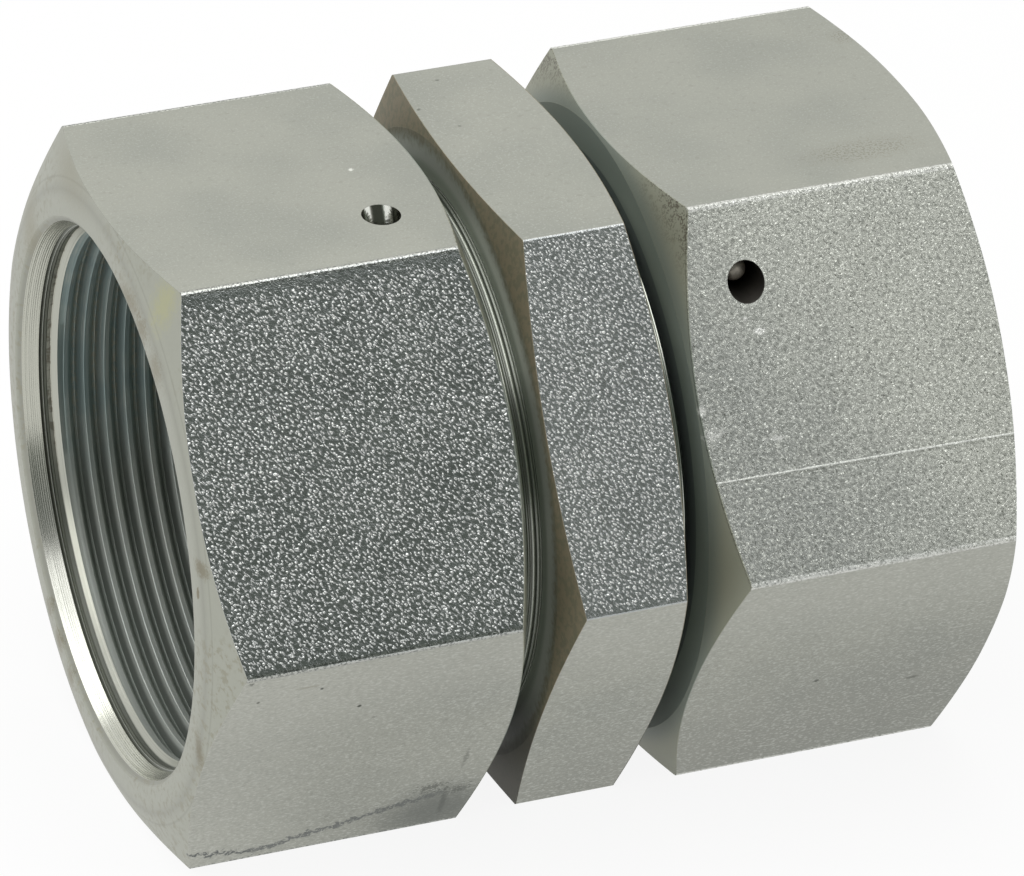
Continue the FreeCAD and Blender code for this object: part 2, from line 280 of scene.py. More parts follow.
# The right flat: its ground is painted darker towards its left and its bottom as painted shade, and a painted
# relief lies over it, lighter crests as painted highlight and darker troughs as painted shade.
rightGrain = dict(
    leftGrain, size=0.32, reach=0.3, uneven=0.75, upperEnd=(18.2, 17.7), ground=(0.52, 0.535, 0.48),
    groundDark=(0.34, 0.355, 0.33), crystal=(0.66, 0.68, 0.62), blotch=0.4, shade=(-0.03, -0.018, 0.97),
    metal=0.55, rough=0.24, depth=1.3, pits=0.8, relief=0.45, edgeBreak=0.1,
)


# The small crystals on the flat, drawn out along one direction: their height, and what colours them.
def openGrain(start, place, grain):
    normal = grain["normal"]
    across, up = grain["way"]
    size = grain["size"]
    x = place.split()[0]
    rise = place.dot((0.0, normal[2], -normal[1]))
    long = (x * across + rise * up) * (1 / (size * grain["stretch"]))
    short = (x * -up + rise * across) * (1 / size)
    flat = long.beside(short)
    wobble = flat.flatNoise(0.9, 0.0, out="Color")
    flat = flat.shifted(wobble.scaled(grain["wobble"]))
    values = {"Vector": flat, "Scale": 1.0, "Randomness": 0.95}
    cell = start.node("ShaderNodeTexVoronoi", {"voronoi_dimensions": "2D"}, values, "Distance")
    tall = Signal(start.tree, cell.socket.node.outputs["Color"]).split()[0]
    rough = flat.flatNoise(2.3, 1.0, 0.7)
    drift = wobble.split()[0]
    calm = (rise + drift * 1.8).ramp(*grain["upperEnd"]) * (rise + drift).ramp(*grain["lowerEnd"])
    domes = (cell + (rough - 0.5) * grain["ragged"]).ramp(grain["reach"], 0.0) * calm
    alongX, alongRise, level = grain["shade"]
    return {
        "height": domes * (tall * 0.8 + 0.3) + rough * grain["uneven"],
        "domes": domes,
        "rough": rough,
        "rise": rise,
        # On the right flat these patches also carry a painted shade that darkens the ground towards its left
        # and its bottom.
        "patches": place.noise(0.2) * grain["blotch"] + x * alongX + rise * alongRise + level,
        "paintedRelief": flat.flatNoise(1.1) if grain["relief"] else None,
    }


def grainColour(grain, crystals, clouds):
    colour = crystals["patches"].ramp(0.2, 0.9).between(grain["ground"], grain["groundDark"])
    # Painted shade: the low hollows of the bump are painted darker.
    colour = colour.mixed(grain["hollowShade"], crystals["rough"].ramp(0.36, 0.3, 0.5))
    colour = colour.mixed(grain["crystal"], crystals["domes"].ramp(0.1, 0.5, 0.8))
    # Painted relief on the right flat: darker troughs as painted shade and crystal-coloured crests as painted
    # highlight, with no matching bump under them.
    if grain["relief"]:
        colour = colour.mixed(grain["troughShade"], crystals["paintedRelief"].ramp(0.46, 0.34, grain["relief"]))
        colour = colour.mixed(grain["crystal"], crystals["paintedRelief"].ramp(0.54, 0.66, grain["relief"]))
    if grain["pits"]:
        pits = crystals["rough"].ramp(0.31, 0.27, grain["pits"]) * clouds.ramp(0.35, 0.6)
        colour = colour.mixed(grain["pit"], pits)
    return colour


# Zinc plating over milled and turned steel, with the open grain on one flat.
def platedSteel(name, look, grain, zones):
    material, start, place = newMaterial(name)
    x, y, z = place.split()
    radius = (y * y + z * z).sqrt()
    clouds = place.noise(0.07, 2.0)
    mottle = place.noise(1.4, 2.0)
    fine = place.noise(4.5)

    colour = clouds.ramp(0.35, 0.7).between(look["pale"], look["paleTint"])
    colour = colour.mixed(look["mottle"], mottle.ramp(0.56, 0.75, 0.35))
    colour = colour.mixed(look["fleck"], fine.ramp(0.56, 0.7, 0.4))
    lowFlat = place.dot(lowNormal).ramp(29.5, 29.7)
    streaks = place.times((0.5, 1.0, 1.0)).noise(5.0)
    # Painted light and shade on the lower flat: lighter towards its top, darker towards its bottom, lighter
    # towards the left nut's front end.
    colour = colour.mixed(look["lowPaintedLight"], lowFlat * z.ramp(-14.0, -2.0, 0.7))
    colour = colour.mixed(look["lowShade"], lowFlat * (z - x * 0.3).ramp(-14.0, -36.0, 0.55))
    colour = colour.mixed(look["lowFrontPaintedLight"], lowFlat * x.ramp(-20.0, -38.0, 0.6))
    colour = colour.mixed(look["streak"], lowFlat * streaks.ramp(0.54, 0.68, 0.42))
    colour = colour.mixed(look["streakDark"], lowFlat * streaks.ramp(0.46, 0.32, 0.22))

    crystals = openGrain(start, place, grain)
    onFlat = place.dot(grain["normal"]).ramp(grain["place"] - 0.14, grain["place"] - 0.04)
    offFlat = 1 - onFlat
    colour = colour.mixed(grainColour(grain, crystals, clouds), onFlat)
    outside = radius.ramp(26.9, 27.1)
    lines = x.beside(radius).flatNoise(1 / look["lines"], 1.0, 0.6)
    surface = {
        "colour": colour,
        "rough": (look["rough"] + mottle * 0.1) * offFlat + onFlat * grain["rough"],
        "metal": 1 - onFlat * (1 - grain["metal"]),
        "lines": lines * (1 - outside) * look["turning"],
    }
    here = {
        "place": place,
        "x": x,
        "z": z,
        "radius": radius,
        "clouds": clouds,
        "mottle": mottle,
        "fine": fine,
        "ragged": mottle + fine - 1.0,
        "lines": lines,
        "rise": crystals["rise"],
        "onFlat": onFlat,
    }
    zones(here, surface)

    # Painted highlight along the rounded long edges of the hexagon, over the lamp's real reflection there,
    # broken by darker gaps.
    corner = radius.ramp(34.42, 34.5) * outside
    lay(surface, corner * fine.ramp(0.3, 0.55, 0.5), look["edge"])
    lay(surface, corner * fine.ramp(0.52, 0.42, grain["edgeBreak"]), look["edgeDark"])
    grit = fine * offFlat * outside * (corner * 0.5 + look["grit"])
    bump = crystals["height"] * onFlat * grain["depth"] + grit + surface["lines"]
    values = {"Base Color": surface["colour"], "Metallic": surface["metal"], "Roughness": surface["rough"]}
    finishMaterial(start, values, bump, 1.0, look["depth"])
    return material


# Where a nut's zones lie: depths are measured from its front face, and radii from its axis.
nutPlan = {
    "front": 39.26,
    "frontLine": (30.1, 30.25),
    "chamfer": (29.1, 0.4163),
    "mouth": 26.7,
    "cone": (0.46, 2.0),
    "line": (2.02, 2.7),
    "crest": (2.27, 2.4),
    "land": (2.7, 3.12),
    "lead": (3.13, 3.66),
    "back": (30.3, 30.45),
    "backCorner": (29.7, 0.4574),
    "hole": 1.84,
}


# The flat front face and the chamfered corners round it. They are painted lighter than the flats, as painted
# light.
def layFront(here, surface, look):
    deep, radius = here["deep"], here["radius"]
    begin, slope = nutPlan["chamfer"]
    front = here["front"]
    # Painted light: the front face and its chamfered corners are painted lighter than the flats.
    lay(surface, front, look["front"])
    lay(surface, front * (deep - (radius - begin).larger(0.0) * slope).ramp(0.02, 0.3), look["blend"])
    stain = here["mottle"].ramp(0.5, 0.66) * here["clouds"].ramp(0.4, 0.6, 0.7)
    lay(surface, front * stain, look["frontStain"])
    lay(surface, front * radius.band(*nutPlan["frontLine"], 0.12) * 0.35, look["frontLine"])


# The turned steps of the mouth, from the cone to the thread. Their upper parts are painted lighter than their
# lower parts as painted light, the grooves are painted dark as painted shade, and the crest, the foot of the
# cone and the lower part of the lead carry painted highlights.
def layMouth(here, surface, look):
    deep, radius, z = here["deep"], here["radius"], here["z"]
    steps = radius.ramp(nutPlan["mouth"] + 0.05, nutPlan["mouth"] - 0.05) * deep.ramp(4.4, 4.2)
    upper = z.ramp(-14.0, -5.0)
    cone = steps * deep.band(*nutPlan["cone"], 0.02)
    # Painted light: the cone is lighter on its upper part, and its foot carries a painted highlight.
    lay(surface, cone, look["coneLow"], 0.22)
    lay(surface, cone * upper, look["cone"])
    lay(surface, cone * z.ramp(-19.5, -24.0, 0.8), look["coneFootHighlight"])
    # Painted shade in the grooves, and a painted highlight on the crest between them.
    lay(surface, steps * deep.band(*nutPlan["line"], 0.03), look["line"], 0.45)
    lay(surface, steps * deep.band(*nutPlan["crest"], 0.03), look["crest"], 0.3)
    land = steps * deep.band(*nutPlan["land"], 0.02)
    # Painted light: the land is lighter on its upper part, with random darker mottling there.
    lay(surface, land, look["landLow"], 0.45)
    lay(surface, land * upper, look["land"])
    lay(surface, land * upper * here["mottle"].ramp(0.48, 0.64), look["landDark"])
    lead = steps * deep.band(*nutPlan["lead"], 0.02)
    # Painted highlight on the lower part of the lead.
    lay(surface, lead, look["lead"], 0.3)
    lay(surface, lead * z.band(-21.0, -13.0, 2.5), look["leadHighlight"])
    surface["lines"] = surface["lines"] + cone * here["lines"] * look["coneLines"]


# The back face and its corners, and the bore behind the thread.
def layBack(here, surface, look):
    deep, radius = here["deep"], here["radius"]
    begin, slope = nutPlan["backCorner"]
    corner = (deep + (radius - begin) * slope).ramp(30.39, 30.47) * radius.ramp(29.6, 29.8)
    lay(surface, deep.ramp(*nutPlan["back"]), look["back"], 0.5, 0.5)
    lay(surface, corner, look["corner"], 0.5, 0.4)
    lay(surface, corner * radius.ramp(31.9, 29.8, 0.8), look["cornerInner"])
    specks = here["fine"].ramp(0.46, 0.54) * here["mottle"].ramp(0.42, 0.52)
    lay(surface, corner * specks * (radius * 0.2 + here["z"] * 0.03).ramp(6.8, 7.7), look["cornerSpeck"])
    lay(surface, radius.ramp(26.6, 26.5) * deep.ramp(3.62, 3.7), look["inside"])


# The slanting hole that the wire goes in by: its wall painted dark as painted shade, light bands on it as
# painted reflections, and a painted highlight round its rim.
def layHole(here, surface, look):
    hole = look["wireHole"]
    size = nutPlan["hole"]
    place, x = here["place"], here["x"]
    across = place.shifted(tuple(-value for value in hole["at"])).dot(hole["across"])
    along = x - hole["at"][0]
    away = (along * along + across * across).sqrt()
    wall = away.ramp(size, size - 0.04) * here["offFlats"] * place.dot(hole["along"]).ramp(9.0, 10.0)
    # Painted shade: the wall inside the hole is painted dark.
    lay(surface, wall, look["hole"], look["holeGloss"])
    # Painted highlight round the rim of the hole.
    rimHighlight = away.band(size, size + 0.16, 0.05) * here["onFlat"] * here["fine"].ramp(0.35, 0.6, 0.5)
    lay(surface, rimHighlight, look["rimHighlight"])
    # Painted reflections: light bands along the wall.
    for low, high in look["holeReflections"]:
        lay(surface, wall * x.band(low, high, 0.12), look["holeReflection"])


def layDarkLine(here, surface, darkLine):
    x = here["x"]
    level = (x - darkLine["bend"]).absolute() * darkLine["slope"] + darkLine["level"] + (here["mottle"] - 0.5) * 2.2
    away = (here["z"] - level).absolute()
    mask = away.ramp(darkLine["width"] * 1.6, darkLine["width"] * 0.5) * x.band(*darkLine["reach"], 0.8)
    onLow = here["place"].dot(lowNormal).ramp(29.5, 29.8)
    lay(surface, mask * onLow * here["fine"].ramp(0.3, 0.5, darkLine["strength"]), darkLine["colour"])


# A fine raised line that a tool left along the flat, with a painted highlight on its top and a painted shade
# below.
def laySeam(here, surface, look):
    level = look["seam"]
    rise = here["rise"] + here["x"] * look["seamSlope"]
    seam = here["onFlat"] * rise.band(level - 0.07, level + 0.07, 0.05)
    shade = here["onFlat"] * rise.band(level - 0.32, level - 0.14, 0.06)
    # Painted shade below the line and a painted highlight on its top.
    lay(surface, shade * here["fine"].ramp(0.35, 0.55, 0.5), look["seamShade"])
    lay(surface, seam * here["fine"].ramp(0.2, 0.4), look["seamHighlight"], 0.4, 0.3)
    surface["lines"] = surface["lines"] + seam * 0.3


# What differs from place to place on a nut. Side is -1 on the left nut and 1 on the right one.
def nutZones(side, look):
    def zones(here, surface):
        deep = nutPlan["front"] - here["x"] * side
        flats = here["z"].absolute()
        for normal in ((0.0, 0.8660, 0.5), (0.0, -0.8660, 0.5)):
            flats = flats.larger(here["place"].dot(normal).absolute())
        here["deep"] = deep
        here["offFlats"] = flats.ramp(29.985, 29.96)
        here["front"] = deep.ramp(10.0, 9.0) * here["radius"].ramp(26.0, 26.08) * here["offFlats"]
        layFront(here, surface, look)
        layMouth(here, surface, look)
        layBack(here, surface, look)
        layHole(here, surface, look)
        for darkLine in look["darkLines"]:
            layDarkLine(here, surface, darkLine)
        if look["seam"]:
            laySeam(here, surface, look)
        for mark in look["frontMarks"]:
            lay(surface, spot(here, mark) * here["front"], mark["colour"])
        for mark in look["marks"]:
            lay(surface, spot(here, mark), mark["colour"])
    return zones


# Marks on the left nut as the years left them: dark dots, dark smudges and brown stains at the mouth.
# The broad dark patch below the dark line on the lower flat is a painted shadow.
dark = (0.06, 0.065, 0.05)
brown = (0.2, 0.17, 0.1)
leftMarks = [
    {"at": (-39.1, 1.4, 30.0), "reach": 0.16, "soft": 0.1, "ragged": 0.2,
     "colour": dark, "strength": 0.6},
    {"at": (-15.0, 0.1, 30.0), "reach": 0.22, "soft": 0.1, "ragged": 0.3,
     "colour": (0.85, 0.86, 0.8), "strength": 0.7},
    {"at": (-25.04, -30.32, -7.49), "reach": 0.19, "soft": 0.1, "ragged": 0.1,
     "colour": dark, "strength": 1.0},
    {"at": (-29.38, -32.64, -3.47), "reach": 0.16, "soft": 0.1, "ragged": 0.1,
     "colour": dark, "strength": 0.9},
    {"at": (-30.6, -33.0, -2.84), "reach": 0.2, "soft": 0.1, "ragged": 0.3,
     "colour": brown, "strength": 0.3, "stretch": (0.16, 1.6, 1.6)},
    {"at": (-35.31, -32.41, -3.86), "reach": 0.14, "soft": 0.1, "ragged": 0.1,
     "colour": dark, "strength": 0.8},
    {"at": (-36.5, -34.2, -0.7), "reach": 0.2, "soft": 0.15, "ragged": 0.4,
     "colour": dark, "strength": 0.7},
    {"at": (-23.17, -28.99, -9.79), "reach": 0.2, "soft": 0.15, "ragged": 0.2,
     "colour": dark, "strength": 0.3},
    {"at": (-14.6, -21.0, -23.8), "reach": 0.5, "soft": 0.4, "ragged": 2.6,
     "colour": dark, "strength": 0.6, "stretch": (0.5, 1.0, 1.0)},
    {"at": (-12.2, -20.5, -24.9), "reach": 0.45, "soft": 0.4, "ragged": 2.6,
     "colour": dark, "strength": 0.6, "stretch": (0.5, 1.0, 1.0)},
    {"at": (-13.0, -19.1, -26.8), "reach": 0.28, "soft": 0.15, "ragged": 0.3,
     "colour": dark, "strength": 0.7, "stretch": (1.0, 0.15, 0.15)},
    {"at": (-12.2, -23.3, -19.6), "reach": 0.2, "soft": 0.15, "ragged": 0.3,
     "colour": dark, "strength": 0.4, "stretch": (1.0, 0.15, 0.15)},
    # Painted shadow: a broad soft dark patch below the dark line on the lower flat.
    {"at": (-13.5, -18.6, -27.8), "reach": 3.8, "soft": 3.0, "ragged": 2.0,
     "colour": (0.13, 0.14, 0.125), "strength": 0.75, "stretch": (0.8, 1.0, 1.0)},
]
frontMarks = [
    {"at": (-39.26, -28.2, 8.2), "reach": 1.0, "soft": 0.6, "ragged": 1.2,
     "colour": brown, "strength": 0.6, "stretch": (1.0, 0.8, 1.3)},
    {"at": (-39.26, -26.9, -11.6), "reach": 0.75, "soft": 0.6, "ragged": 0.9,
     "colour": brown, "strength": 0.6, "stretch": (1.0, 1.2, 0.4)},
    {"at": (-39.0, -27.5, -14.2), "reach": 0.3, "soft": 0.15, "ragged": 0.3,
     "colour": dark, "strength": 0.8},
    {"at": (-39.2, -27.6, 5.5), "reach": 0.25, "soft": 0.1, "ragged": 0.3,
     "colour": brown, "strength": 0.8, "stretch": (1.0, 1.0, 0.5)},
    {"at": (-39.2, 17.5, -20.9), "reach": 0.9, "soft": 0.5, "ragged": 1.6,
     "colour": brown, "strength": 0.5},
    {"at": (-39.2, 14.6, -23.0), "reach": 1.0, "soft": 0.5, "ragged": 1.6,
     "colour": brown, "strength": 0.5},
    {"at": (-39.2, 11.2, -25.0), "reach": 0.9, "soft": 0.5, "ragged": 1.6,
     "colour": brown, "strength": 0.5},
    {"at": (-38.0, -15.4, 28.2), "reach": 1.4, "soft": 1.2, "ragged": 2.0, "colour": (0.46, 0.46, 0.29),
     "strength": 0.8, "stretch": (0.5, 1.0, 0.7)},
    {"at": (-39.2, -9.3, 25.7), "reach": 0.9, "soft": 0.8, "ragged": 1.6, "colour": (0.23, 0.2, 0.13),
     "strength": 0.6, "stretch": (1.0, 0.45, 1.0)},
    {"at": (-39.2, -12.6, 24.5), "reach": 0.8, "soft": 0.6, "ragged": 1.6, "colour": (0.23, 0.2, 0.13),
     "strength": 0.6, "stretch": (1.0, 0.6, 0.8)},
    {"at": (-39.2, -16.4, 22.3), "reach": 0.7, "soft": 0.6, "ragged": 1.6, "colour": (0.23, 0.2, 0.13),
     "strength": 0.5, "stretch": (1.0, 0.6, 0.6)},
    {"at": (-39.2, 20.7, 17.9), "reach": 1.3, "soft": 1.2, "ragged": 2.6, "colour": (0.3, 0.28, 0.2),
     "strength": 0.5, "stretch": (1.0, 0.7, 0.4)},
    {"at": (-38.6, 10.0, 29.0), "reach": 2.0, "soft": 2.0, "ragged": 3.0, "colour": (0.3, 0.28, 0.2),
     "strength": 0.4, "stretch": (1.0, 0.4, 1.0)},
]

# A thin dark line runs along the lower flat, in two straight pieces that meet at a bend.
leftDarkLines = [
    {"bend": -31.0, "slope": 0.2, "level": -28.9, "width": 0.26, "reach": (-38.5, -31.0), "strength": 0.9,
     "colour": (0.09, 0.1, 0.1)},
    {"bend": -31.0, "slope": 0.236, "level": -28.9, "width": 0.3, "reach": (-31.0, -13.5), "strength": 0.8,
     "colour": (0.1, 0.11, 0.11)},
]

# Marks on the right nut: a nick at its back edge, small bright dents and a dark scratch.
bright = (0.85, 0.86, 0.82)
rightMarks = [
    {"at": (9.0, -26.4, 14.3), "reach": 0.4, "soft": 0.15, "ragged": 0.7,
     "colour": bright, "strength": 0.6},
    {"at": (9.7, -27.6, 12.2), "reach": 0.45, "soft": 0.3, "ragged": 1.2,
     "colour": bright, "strength": 0.4, "stretch": (0.5, 1.0, 1.0)},
    {"at": (15.87, -23.3, 19.65), "reach": 0.28, "soft": 0.1, "ragged": 0.2,
     "colour": bright, "strength": 0.9, "stretch": (0.6, 1.0, 1.0)},
    {"at": (14.65, -22.65, 20.77), "reach": 0.2, "soft": 0.1, "ragged": 0.2,
     "colour": bright, "strength": 0.6},
    {"at": (15.75, -28.19, 11.18), "reach": 0.2, "soft": 0.1, "ragged": 0.3,
     "colour": bright, "strength": 0.6, "stretch": (0.3, 1.0, 1.0)},
    {"at": (21.99, -24.33, -17.86), "reach": 0.25, "soft": 0.1, "ragged": 0.2,
     "colour": dark, "strength": 0.7},
    {"at": (32.32, -22.88, -20.38), "reach": 0.2, "soft": 0.1, "ragged": 0.2,
     "colour": dark, "strength": 0.5, "stretch": (0.3, 1.0, 1.0)},
    {"at": (30.1, -11.87, 30.0), "reach": 2.2, "soft": 1.0, "ragged": 3.0, "colour": (0.2, 0.19, 0.14),
     "strength": 0.6, "stretch": (0.35, 1.0, 1.0), "specked": True},
    {"at": (37.6, 10.2, 30.0), "reach": 1.4, "soft": 0.8, "ragged": 2.0, "colour": (0.2, 0.19, 0.14),
     "strength": 0.6, "specked": True},
]

nutLook = {
    # The front tone is lighter than the flats' as painted light.
    "front": (0.415, 0.425, 0.368),
    "blend": (0.34, 0.345, 0.3),
    "frontStain": (0.33, 0.32, 0.25),
    "frontLine": (0.24, 0.24, 0.2),
    # Tones of the mouth: lighter upper parts as painted light, bright bands as painted highlights, a dark
    # groove as painted shade.
    "cone": (0.5, 0.505, 0.44),
    "coneLines": 0.06,
    "coneLow": (0.42, 0.425, 0.385),
    "coneFootHighlight": (0.66, 0.67, 0.59),
    "line": (0.17, 0.18, 0.15),
    "crest": (0.75, 0.77, 0.72),
    "land": (0.5, 0.5, 0.43),
    "landLow": (0.24, 0.25, 0.22),
    "landDark": (0.28, 0.27, 0.22),
    "lead": (0.46, 0.47, 0.41),
    "leadHighlight": (0.78, 0.79, 0.68),
    "back": (0.3, 0.35, 0.31),
    "corner": (0.3, 0.31, 0.24),
    "cornerInner": (0.2, 0.235, 0.205),
    "cornerSpeck": (0.12, 0.11, 0.08),
    "inside": (0.16, 0.19, 0.185),
    # The hole's wall tone is painted shade, its light bands are painted reflections, and its rim tone is a
    # painted highlight.
    "hole": (0.2, 0.2, 0.17),
    "holeGloss": 0.18,
    "holeReflection": (0.85, 0.87, 0.8),
    "rimHighlight": (0.8, 0.82, 0.76),
    "holeReflections": [(-16.4, -15.75), (-14.6, -14.0)],
    "wireHole": {
        "at": (-15.35, -14.03, 21.1),
        "across": (0.0, 0.8747, -0.4847),
        "along": (0.0, 0.4847, 0.8747),
    },
    "seam": None,
    "seamSlope": 0.0087,
    "seamHighlight": (0.85, 0.87, 0.82),
    "seamShade": (0.2, 0.21, 0.18),
    "darkLines": leftDarkLines,
    "marks": leftMarks,
    "frontMarks": frontMarks,
}
rightNutLook = dict(
    nutLook, hole=(0.16, 0.15, 0.135), holeGloss=0.45, holeReflections=[], seam=-7.42,
    marks=rightMarks, frontMarks=[], darkLines=[],
    wireHole={"at": (15.35, -10.63, 23.08), "across": (0.0, 0.0517, 0.9987), "along": (0.0, -0.9987, 0.0517)},
)

centreLook = {
    "hub": (0.5, 0.52, 0.46),
    "hubDark": (0.16, 0.17, 0.15),
    "ring": (0.27, 0.3, 0.24),
    # A lighter tone laid across the middle of each face as a painted highlight.
    "band": (0.42, 0.44, 0.38),
    "marks": [
        {"at": (-1.4, 14.46, 30.0), "reach": 0.16, "soft": 0.1, "ragged": 0.2,
         "colour": dark, "strength": 0.6},
        {"at": (-5.0, 9.44, 30.0), "reach": 0.16, "soft": 0.1, "ragged": 0.2,
         "colour": dark, "strength": 0.6},
        {"at": (-2.56, 5.13, 30.0), "reach": 0.16, "soft": 0.1, "ragged": 0.2,
         "colour": dark, "strength": 0.6},
    ],
    "rust": (0.23, 0.2, 0.13),
    "rustDark": (0.18, 0.17, 0.11),
    "shade": (0.06, 0.06, 0.045),
    "hubLines": 1.2,
}


# The hub beside the hexagon, the hexagon's faces with their rings of rust, and its chamfered corners.
# A lighter band across each face is a painted highlight, and the faces and corners are painted darker towards
# the bottom as painted shade.
def centreZones(look):
    def zones(here, surface):
        x, z, radius, mottle = here["x"], here["z"], here["radius"], here["mottle"]
        hub = radius.band(25.2, 25.76, 0.05)
        turned = x.beside(radius * 0.2).flatNoise(2.6)
        face = x.ramp(-5.75, -5.83).larger(x.ramp(6.2, 6.28)) * radius.ramp(25.75, 25.8)
        left = ((radius - 29.6) * 0.191 - x).ramp(5.77, 5.82)
        right = (x + (radius - 29.6) * 0.3039).ramp(6.22, 6.27)
        corner = left.larger(right) * radius.ramp(29.5, 29.7)
        lay(surface, hub, look["hub"], 0.24)
        lay(surface, hub * turned.ramp(0.48, 0.42), look["hubDark"])
        lay(surface, face, look["ring"], 0.5, 0.5)
        # Painted highlight: a lighter band across the middle of each face.
        lay(surface, face * radius.band(27.0, 28.8, 0.5), look["band"], 0.4)
        edge = (face * (radius + mottle * 1.5).ramp(28.6, 31.0)).larger(corner)
        lay(surface, edge, look["rust"], 0.6, 0.25)
        lay(surface, edge * mottle.ramp(0.45, 0.62), look["rustDark"])
        # Painted shade: faces and corners darker towards the bottom.
        lay(surface, face.larger(corner) * z.ramp(-11.0, -21.0, 0.85), look["shade"])
        for mark in look["marks"]:
            lay(surface, spot(here, mark), mark["colour"])
        surface["lines"] = surface["lines"] * (1 - hub) + hub * turned * look["hubLines"]
    return zones


# Tones of the thread: turned lines, clouds and brown specks at the roots, a lighter tone on its lower part as
# painted light, and a dark tone in the roots there as painted shade.
threadLook = {
    "dark": (0.3, 0.37, 0.355),
    "pale": (0.4, 0.44, 0.41),
    "cloud": (0.25, 0.33, 0.33),
    "root": (0.42, 0.4, 0.32),
    "low": (0.5, 0.52, 0.48),
    "rootShade": (0.13, 0.15, 0.13),
    "metal": 0.75,
    "rough": 0.5,
}


def threadSteel(look):
    material, start, place = newMaterial("platedThread")
    x, y, z = place.split()
    radius = (y * y + z * z).sqrt()
    lines = x.beside(radius).flatNoise(6.0, 2.0, 0.6)
    patches = place.noise(0.25, 1.0, 0.5)
    grains = place.noise(2.2, 2.0, 0.7)
    low = z.ramp(-2.0, -14.0)
    colour = lines.ramp(0.4, 0.7).between(look["dark"], look["pale"])
    colour = colour.mixed(look["cloud"], patches.ramp(0.45, 0.65, 0.6))
    # Painted light: the lower part of the thread is painted lighter.
    colour = colour.mixed(look["low"], low * 0.8)
    root = radius.ramp(25.5, 25.9) * grains.ramp(0.42, 0.58)
    colour = colour.mixed(look["root"], root * (1 - low) * 0.7)
    # Painted shade in the roots of the lower part of the thread.
    colour = colour.mixed(look["rootShade"], radius.ramp(25.1, 25.5) * low * 0.7)
    values = {"Base Color": colour, "Metallic": look["metal"], "Roughness": look["rough"]}
    finishMaterial(start, values, lines, 0.35, 0.03)
    return material


wireLook = {
    "dark": (0.3, 0.28, 0.24),
    "pale": (0.58, 0.54, 0.47),
    "metal": 0.8,
    "rough": 0.4,
    "scale": 1.5,
    "strength": 0.3,
    "relief": 0.03,
}
sealLook = {
    "dark": (0.012, 0.012, 0.013),
    "pale": (0.03, 0.03, 0.031),
    "metal": 0.0,
    "rough": 0.45,
    "scale": 2.0,
    "strength": 0.2,
    "relief": 0.02,
}


# The drawn spring wire and the rubber of the O-rings: two tones, mottled.
def mottledMaterial(name, look):
    material, start, place = newMaterial(name)
    mottle = place.noise(look["scale"], 3.0)
    values = {
        "Base Color": mottle.ramp(0.35, 0.7).between(look["dark"], look["pale"]),
        "Metallic": look["metal"],
        "Roughness": mottle * 0.2 + look["rough"],
    }
    finishMaterial(start, values, mottle, look["strength"], look["relief"])
    return material


def wear(item, material):
    item.data.materials.clear()
    item.data.materials.append(material)


# The thread of a nut: its pitch, its radii, and the span along the axis that it fills. Its profile goes from
# crest to root and back over one pitch, and its phase is where a crest begins.
thread = {
    "pitch": 2.007,
    "crest": 24.92,
    "root": 26.0,
    "relief": 26.2,
    "mouth": 25.1,
    "start": 23.5,
    "end": 35.64,
    "fade": 0.7,
    "turnSteps": 240,
    "profile": [(0.0, 0.0), (0.105, 0.0), (0.135, 0.03), (0.43, 0.97), (0.46, 1.0), (0.54, 1.0), (0.57, 0.97),
                (0.865, 0.03), (0.895, 0.0)],
    "leftPhase": -34.8,
    "rightPhase": 20.5,
}


def threadDepth(share):
    share = share % 1.0
    points = thread["profile"] + [(1.0, 0.0)]
    for (low, depthLow), (high, depthHigh) in zip(points, points[1:]):
        if low <= share <= high:
            return depthLow + (depthHigh - depthLow) * (share - low) / (high - low)
    return 0.0


def threadRadius(x, turn, phase):
    share = (x - phase) / thread["pitch"] - turn
    depth = threadDepth(share) * (thread["root"] - thread["crest"])
    fade = min(1.0, max(0.0, (thread["end"] - abs(x)) / thread["fade"]))
    return thread["crest"] + depth * fade


def onCircle(x, radius, angle):
    return Vector((x * mm, radius * math.cos(angle) * mm, radius * math.sin(angle) * mm))


# Lays the thread into the mesh of the nut: one row of points for each step of the turn, shifted along the
# helix.
def addThread(mesh, side, phase, slot):
    low = min(side * thread["start"], side * thread["end"])
    high = max(side * thread["start"], side * thread["end"])
    pitch = thread["pitch"]
    steps = thread["turnSteps"]
    shares = [place for place, depth in thread["profile"]]
    first = math.floor((low - phase) / pitch) - 2
    last = math.ceil((high - phase) / pitch) + 1
    places = [turn + share for turn in range(first, last + 1) for share in shares]
    rows = []
    for step in range(steps):
        turn = step / steps
        angle = 2 * math.pi * turn
        row = []
        for place in places:
            x = min(high, max(low, phase + pitch * (place + turn)))
            radius = threadRadius(x, turn, phase)
            row.append(mesh.verts.new(onCircle(x, radius, angle)))
        inner = onCircle(side * thread["start"], thread["relief"], angle)
        outer = onCircle(side * (thread["end"] + 0.03), thread["mouth"], angle)
        ends = (inner, outer) if side > 0 else (outer, inner)
        row.insert(0, mesh.verts.new(ends[0]))
        row.append(mesh.verts.new(ends[1]))
        rows.append(row)
    made = []
    count = len(places) + 2
    for step in range(steps):
        here = rows[step]
        there = rows[(step + 1) % steps]
        shift = 0 if step + 1 < steps else len(shares)
        for index in range(count - 1):
            one, two = here[index], here[index + 1]
            four = there[index if index == 0 else min(count - 2, index + shift)]
            three = there[index + 1 if index + 2 == count else min(count - 2, index + 1 + shift)]
            corners = []
            for vertex in (one, two, three, four):
                if vertex not in corners:
                    corners.append(vertex)
            if len(corners) > 2:
                face = mesh.faces.new(corners)
                face.smooth = True
                face.material_index = slot
                made.append(face)
    return made


